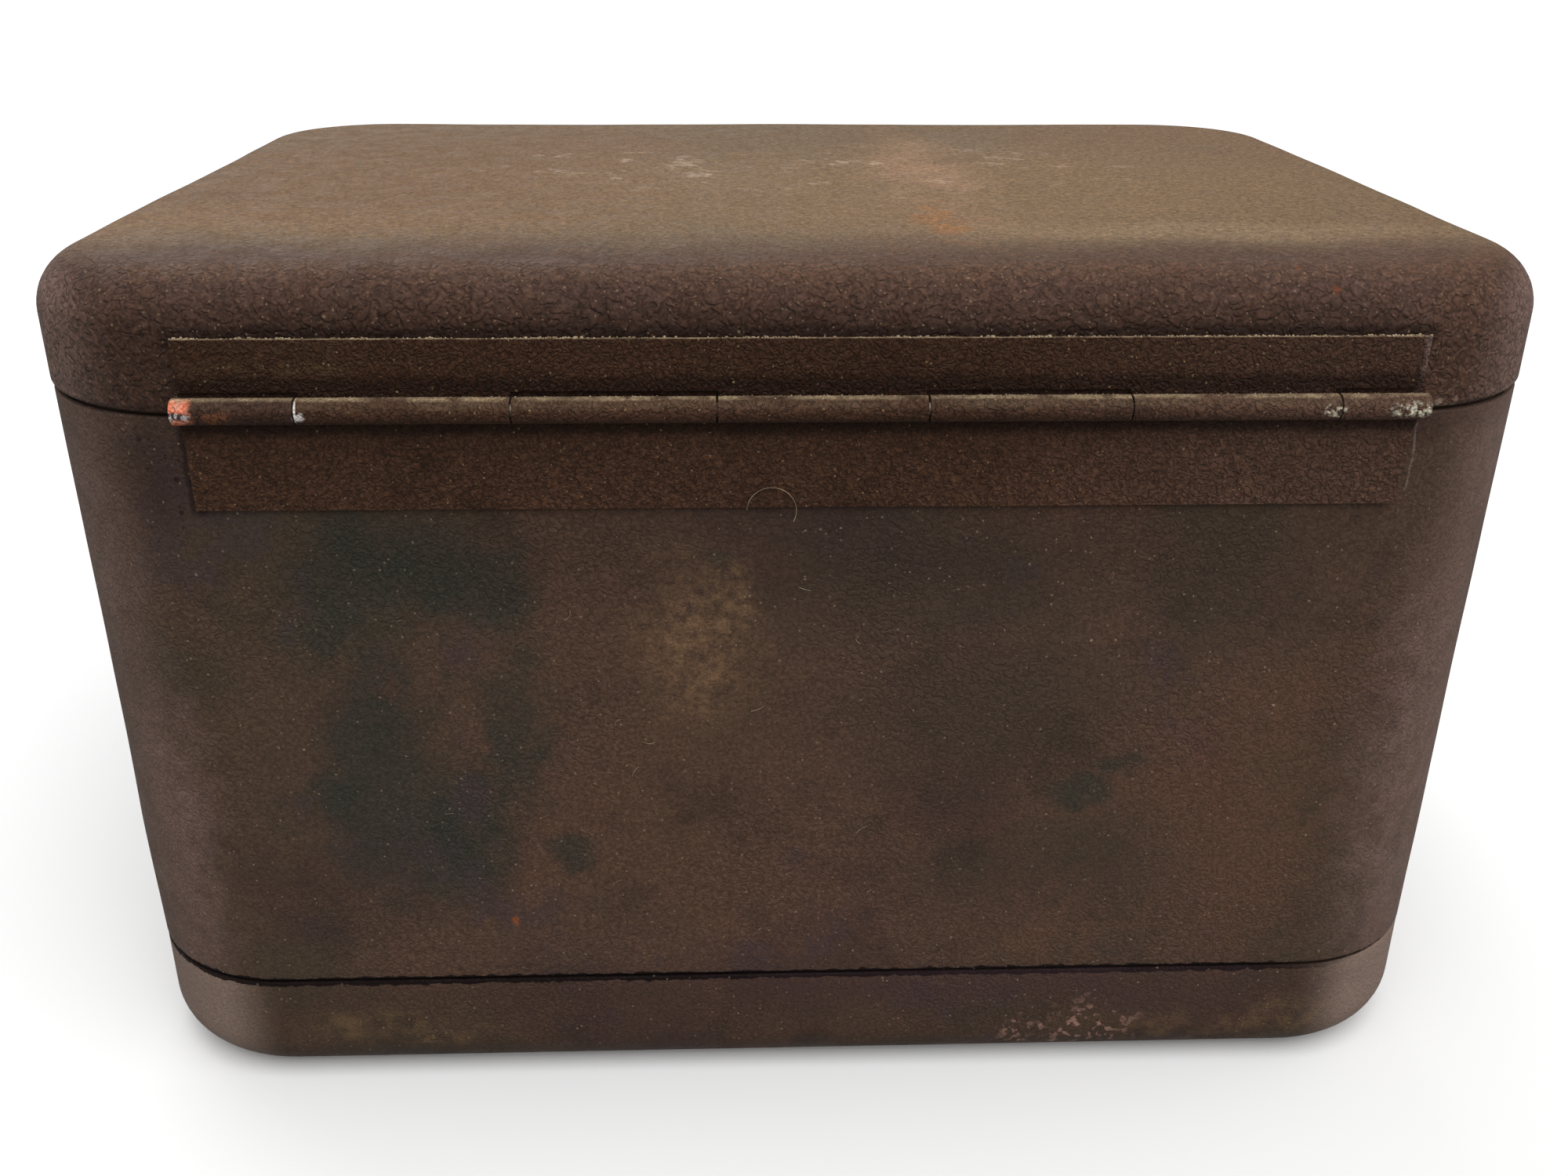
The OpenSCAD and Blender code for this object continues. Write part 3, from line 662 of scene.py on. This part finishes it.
def make_dust():
    g = Graph("dust_crumbs")
    colour = g.mix(g.cloud(500, 3, 0.35, 0.65), shade(118, 100, 74), shade(164, 146, 118))
    rough = g.cloud(900, 2, 0.3, 0.7, 0.8, 0.95)
    g.surface(colour, rough, g.bump(g.noise(6000, 2), 0.03 * MM))
    return g.material


def make_plate():
    g = Graph("dull_nickel")
    grime = g.cloud(60, 5, 0.45, 0.7, roughness=0.6)
    colour = g.mix(grime, shade(168, 160, 146), shade(108, 92, 72))
    rough = g.cloud(90, 4, 0.3, 0.7, 0.28, 0.5)
    g.surface(colour, rough, g.bump(g.noise(900, 3), 0.02 * MM), metallic=0.9)
    return g.material


def make_steel():
    g = Graph("rusted_steel")
    rust = g.cloud(140, 5, 0.45, 0.62, roughness=0.65)
    colour = g.mix(rust, shade(140, 132, 122), shade(96, 60, 38))
    g.surface(colour, g.step(rust, 0, 1, 0.38, 0.75), g.bump(g.noise(1200, 3), 0.03 * MM),
              metallic=g.step(rust, 0, 1, 0.9, 0.1))
    return g.material


def make_grip():
    g = Graph("moulded_grip")
    colour = g.mix(g.cloud(30, 4, 0.4, 0.7), shade(44, 30, 24), shade(60, 42, 32))
    rough = g.cloud(200, 3, 0.3, 0.7, 0.35, 0.55)
    g.surface(colour, rough, g.bump(g.noise(1500, 2), 0.02 * MM))
    return g.material


# ---------- mesh building ----------

CORNER_STEPS = 20
SIDE_STEP = 4 * MM
# Unevenness of the sheet: its size, the scales of its two noises, and the share of the finer.
BUCKLE = 0.35 * MM
COARSE_SCALE = 16
FINE_SCALE = 55
FINE_SHARE = 0.3
ROUNDED_EDGE = 0.18 * MM
WELD = 1e-6


class Trace:
    """A shell's outline: x runs outward from the corner's centre and z is height."""

    def __init__(self, x, z):
        self.points = [(x, z)]

    def line(self, x, z, count):
        x0, z0 = self.points[-1]
        for k in range(1, count + 1):
            t = k / count
            self.points.append((x0 + (x - x0) * t, z0 + (z - z0) * t))
        return self

    def arc(self, cx, cz, r, start, end, count):
        for k in range(1, count + 1):
            a = math.radians(start + (end - start) * k / count)
            self.points.append((cx + r * math.cos(a), cz + r * math.sin(a)))
        return self


def rounded_path(cx, cy):
    """Steps round a rounded rectangle whose corners are centred at +-cx, +-cy, as
    (centre x, centre y, outward x, outward y), and the steps along each straight side."""
    corners = ((1, 1), (-1, 1), (-1, -1), (1, -1))
    counts = (round(2 * cx / SIDE_STEP), round(2 * cy / SIDE_STEP))
    path = []
    for quarter, (sx, sy) in enumerate(corners):
        for k in range(CORNER_STEPS + 1):
            a = math.radians(90 * (quarter + k / CORNER_STEPS))
            path.append((sx * cx, sy * cy, math.cos(a), math.sin(a)))
        nx, ny = corners[(quarter + 1) % 4]
        steps = counts[quarter % 2]
        a = math.radians(90 * (quarter + 1))
        for k in range(1, steps):
            t = k / steps
            path.append((cx * (sx + (nx - sx) * t), cy * (sy + (ny - sy) * t),
                         math.cos(a), math.sin(a)))
    return path, counts


def close_middle(mesh, cx, cy, counts, z):
    """A flat grid between the corner centres."""
    grid = [[mesh.verts.new((cx * (2 * i / counts[0] - 1), cy * (2 * j / counts[1] - 1), z))
             for j in range(counts[1] + 1)] for i in range(counts[0] + 1)]
    for i in range(counts[0]):
        for j in range(counts[1]):
            mesh.faces.new((grid[i][j], grid[i + 1][j], grid[i + 1][j + 1], grid[i][j + 1]))


def swept_shell(half_w, half_d, corner_r, trace, closed):
    """Sweeps an outline round a rounded rectangle. An open outline starts and ends at x 0,
    and a grid closes the middle at each of its ends."""
    cx, cy = half_w - corner_r, half_d - corner_r
    path, counts = rounded_path(cx, cy)
    mesh = bmesh.new()
    rings = [[mesh.verts.new((px + x * dx, py + x * dy, z)) for px, py, dx, dy in path]
             for x, z in trace.points]
    pairs = list(zip(rings, rings[1:])) + ([(rings[-1], rings[0])] if closed else [])
    for a, b in pairs:
        for k in range(len(path)):
            n = (k + 1) % len(path)
            mesh.faces.new((a[k], a[n], b[n], b[k]))
    if not closed:
        close_middle(mesh, cx, cy, counts, trace.points[0][1])
        close_middle(mesh, cx, cy, counts, trace.points[-1][1])
    bmesh.ops.remove_doubles(mesh, verts=mesh.verts, dist=WELD)
    bmesh.ops.recalc_face_normals(mesh, faces=mesh.faces)
    return mesh


def buckle(mesh, low_z, high_z, fade):
    """Shifts the shell by noise, as thin drawn sheet is never flat. The shift fades out
    towards low_z and high_z, where the shell meets other pieces."""
    for v in mesh.verts:
        near = min(v.co.z - low_z, high_z - v.co.z) / fade
        hold = max(0.0, min(1.0, near))
        v.co += noise.noise_vector(v.co * COARSE_SCALE) * BUCKLE * hold
        fine = noise.noise_vector(v.co * FINE_SCALE + Vector((3, 7, 1)))
        v.co += fine * BUCKLE * FINE_SHARE * hold


def finish_piece(name, mesh, material, body, nodes, sharp_deg=35):
    """Makes an object of a mesh, and states its body and the nodes it replaces."""
    data = bpy.data.meshes.new(name)
    mesh.to_mesh(data)
    mesh.free()
    data.shade_smooth()
    data.set_sharp_from_angle(angle=math.radians(sharp_deg))
    piece = bpy.data.objects.new(name, data)
    bpy.context.scene.collection.objects.link(piece)
    data.materials.append(material)
    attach(piece, body)
    if nodes:
        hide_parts(*nodes)
    return piece


def make_lid():
    """The lid, from the middle of its top down to a rolled hem and back up inside."""
    roll_r, hem_t, hem_h, lip = 1.3 * MM, 1.9 * MM, 2.6 * MM, 0.4 * MM
    bottom, side, edge = lid_lo.z, CORNER_R, EDGE_R
    inside = side - SHEET
    hem_inside = side - hem_t
    trace = Trace(0, TOP)
    trace.line(side - edge, TOP, 6).arc(side - edge, TOP - edge, edge, 90, 0, 14)
    trace.line(side, bottom + roll_r, 5)
    trace.arc(side - roll_r, bottom + roll_r, roll_r, 0, -90, 6)
    trace.line(hem_inside + lip, bottom, 1)
    trace.arc(hem_inside + lip, bottom + lip, lip, -90, -180, 3)
    trace.line(hem_inside, bottom + hem_h - lip, 1)
    trace.arc(hem_inside + lip, bottom + hem_h - lip, lip, 180, 90, 3)
    trace.line(inside, bottom + hem_h, 1).line(inside, TOP - edge, 4)
    trace.arc(side - edge, TOP - edge, edge - SHEET, 0, 90, 10).line(0, TOP - SHEET, 6)
    mesh = swept_shell(lid_hi.x, lid_hi.y, side, trace, False)
    # The upper limit is far above the top, so the unevenness doesn't fade out there.
    buckle(mesh, bottom + 2 * MM, TOP + 40 * MM, 12 * MM)
    finish_piece("lid_skin", mesh, lid_paint, "lid", ["lid_shell"])


def make_body():
    """The body band, which widens towards its top, with the tongue that drops into the pan."""
    soft, play, shelf_t = 0.4 * MM, 0.05 * MM, 1 * MM
    groove = SEAM + GROOVE
    tongue = PAN_R - SHEET - play
    foot, shelf, top = body_lo.z, groove + shelf_t, body_hi.z
    trace = Trace(FOOT_R, groove + soft)
    trace.line(BODY_TOP_R, top - soft, 26).arc(BODY_TOP_R - soft, top - soft, soft, 0, 90, 3)
    trace.line(BODY_TOP_R - SHEET, top, 1).line(FOOT_R - SHEET, shelf, 26)
    trace.line(tongue - SHEET, shelf, 1).line(tongue - SHEET, foot, 3)
    trace.line(tongue, foot, 1).line(tongue, groove, 3).line(FOOT_R - soft, groove, 1)
    trace.arc(FOOT_R - soft, groove + soft, soft, -90, 0, 4)
    # A closed outline doesn't repeat its first point.
    trace.points.pop()
    mesh = swept_shell(body_hi.x, body_hi.y, BODY_TOP_R, trace, True)
    buckle(mesh, groove, top, 25 * MM)
    finish_piece("body_skin", mesh, body_paint, "body", ["body_shell"])


def make_pan():
    """The shallow pan, from the middle of its underside up to the seam and back down inside."""
    soft = 0.4 * MM
    side, edge = PAN_R, EDGE_R
    trace = Trace(0, 0)
    trace.line(side - edge, 0, 6).arc(side - edge, edge, edge, -90, 0, 12)
    trace.line(side, SEAM - soft, 4).arc(side - soft, SEAM - soft, soft, 0, 90, 4)
    trace.line(side - SHEET, SEAM, 1).line(side - SHEET, edge, 4)
    trace.arc(side - edge, edge, edge - SHEET, 0, -90, 8).line(0, SHEET, 6)
    mesh = swept_shell(pan_hi.x, pan_hi.y, side, trace, False)
    finish_piece("pan_skin", mesh, body_paint, "body", ["base_pan"])


def soften(node, body, material):
    """Rebuilds a small CAD part with its flat faces whole and its edges rounded."""
    mesh = bmesh.new()
    mesh.from_mesh(frame["nodes"][node].data)
    bmesh.ops.remove_doubles(mesh, verts=mesh.verts, dist=WELD)
    bmesh.ops.dissolve_limit(mesh, angle_limit=math.radians(1), verts=mesh.verts,
                             edges=mesh.edges)
    piece = finish_piece(node + "_part", mesh, material, body, [node])
    bevel = piece.modifiers.new("edges", "BEVEL")
    bevel.width = ROUNDED_EDGE
    bevel.segments = 3
    bevel.limit_method = "ANGLE"
    bevel.angle_limit = math.radians(40)
    bevel.harden_normals = True


def soften_small_parts():
    """Every node that has no skin of its own gets its finish and rounded edges."""
    body_of = {n: b for b, nodes in frame["record"]["behaviour"]["bodies"].items() for n in nodes}
    slot_of = {s["node"]: s["material_slot"] for s in frame["record"]["subparts"]}
    finish_of = {"hinge_paint": hinge_paint, "plated_steel": plate, "bare_steel": steel,
                 "grip": grip, "inner_paint": body_paint}
    for name, slot in slot_of.items():
        if slot in finish_of:
            soften(name, body_of[name], finish_of[slot])


# ---------- dust and lint ----------

FULL_TURN = 6.28
LEDGE_TRIES = 1500
BARREL_CRUMBS_PER_MM = 4
THREADS = 16


def add_crumb(mesh, place, radius, rng):
    made = bmesh.ops.create_icosphere(mesh, subdivisions=1, radius=radius)
    turn = Matrix.Rotation(rng.uniform(0, FULL_TURN), 3, "Z")
    turn = turn @ Matrix.Rotation(rng.uniform(0, FULL_TURN), 3, "X")
    squash = Vector((rng.uniform(0.8, 1.6), rng.uniform(0.7, 1.1), rng.uniform(0.6, 1.1)))
    for v in made["verts"]:
        v.co *= rng.uniform(0.8, 1.2)
        v.co = turn @ (v.co * squash) + place


def crumb_piece(name, body, places, rng):
    mesh = bmesh.new()
    for place, radius in places:
        add_crumb(mesh, Vector(place), radius, rng)
    finish_piece(name, mesh, dust, body, [], sharp_deg=60)


def ledge_crumbs(rng):
    """Dust lying along the top edge of the lid's hinge leaf, thicker in places."""
    found = []
    for _ in range(LEDGE_TRIES):
        x = rng.uniform(lid_leaf_lo.x, lid_leaf_hi.x)
        thick = noise.noise(Vector((x * 90, 0, 0))) + 0.6 * noise.noise(Vector((x * 330, 5, 0)))
        if rng.random() > 0.45 + 0.9 * thick:
            continue
        radius = (0.08 + 0.2 * rng.random() ** 2) * MM
        y = rng.uniform(LID_BACK + 0.1 * MM, LID_BACK + 0.8 * MM)
        found.append(((x, y, lid_leaf_hi.z + radius * 0.3), radius))
    return found


def barrel_crumbs(rng, spans):
    """Dust along the top of the barrel, thicker on the side next to the leaves."""
    found = []
    end_gap = 0.6 * MM
    for low, high in spans:
        for _ in range(round(BARREL_CRUMBS_PER_MM * (high - low) / MM)):
            x = rng.uniform(low + end_gap, high - end_gap)
            if rng.random() > 0.5 + noise.noise(Vector((x * 140, 2, 0))):
                continue
            a = math.radians(rng.triangular(-35, 30, -10))
            radius = (0.05 + 0.11 * rng.random() ** 2) * MM
            reach = BARREL_R + radius * 0.2
            place = (x, HINGE.y + reach * math.sin(a), HINGE.z + reach * math.cos(a))
            found.append((place, radius))
    return found


def add_fibre(mesh, points, radius):
    """Square-section thread through the points, which lie near a wall that faces Y."""
    rings = []
    for k, point in enumerate(points):
        ahead = points[min(k + 1, len(points) - 1)] - points[max(k - 1, 0)]
        side = ahead.cross(Vector((0, 1, 0))).normalized() * radius
        out = Vector((0, radius, 0))
        rings.append([mesh.verts.new(point + d) for d in (side, out, -side, -out)])
    for a, b in zip(rings, rings[1:]):
        for k in range(4):
            n = (k + 1) % 4
            mesh.faces.new((a[k], a[n], b[n], b[k]))
    mesh.faces.new(rings[0][::-1])
    mesh.faces.new(rings[-1])


def wall_y(z):
    """Place of the body wall's outer face at a height."""
    share = (z - SEAM - GROOVE) / (body_hi.z - SEAM - GROOVE)
    return CORNER_Y + FOOT_R + (BODY_TOP_R - FOOT_R) * share


def curl(start_x, start_z, length, turn, bend, lift, count):
    """Points along a thread that keeps turning, on the hinge-side wall."""
    x, z, points = start_x, start_z, []
    for k in range(count + 1):
        points.append(Vector((x, wall_y(z) + lift, z)))
        turn += bend / count
        x += math.cos(turn) * length / count
        z += math.sin(turn) * length / count
    return points


def make_lint(rng):
    """A hair over the body's hinge leaf and short threads on the wall below."""
    mesh = bmesh.new()
    over_leaf, over_wall = 1.05 * MM, 0.25 * MM
    hair = curl(start_x=8.8 * MM, start_z=117.9 * MM, length=14.5 * MM, turn=1.55, bend=3.6,
                lift=over_leaf, count=30)
    add_fibre(mesh, hair, radius=0.055 * MM)
    for _ in range(THREADS):
        x, z = rng.uniform(-20, 70) * MM, rng.uniform(40, 114) * MM
        length, turn = rng.uniform(0.8, 2.6) * MM, rng.uniform(0, FULL_TURN)
        bend = rng.uniform(-2.5, 2.5)
        thread = curl(x, z, length, turn, bend, over_wall, count=10)
        add_fibre(mesh, thread, radius=0.04 * MM)
    finish_piece("lint", mesh, dust, "body", [], sharp_deg=60)


def make_dust_pieces():
    """Dust on the lid's leaf and on all knuckles but the one at +X, and lint on the body."""
    rng = random.Random(11)
    spans = knuckle_spans()
    crumb_piece("lid_dust", "lid", ledge_crumbs(rng) + barrel_crumbs(rng, spans[1::2]), rng)
    crumb_piece("body_dust", "body", barrel_crumbs(rng, spans[2::2]), rng)
    make_lint(rng)


# ---------- the scene ----------

make_camera()
make_floor()
make_lights()

lid_paint = make_lid_paint()
body_paint = make_body_paint()
hinge_paint = make_hinge_paint()
plate = make_plate()
steel = make_steel()
grip = make_grip()
dust = make_dust()

make_lid()
make_body()
make_pan()
soften_small_parts()
make_dust_pieces()
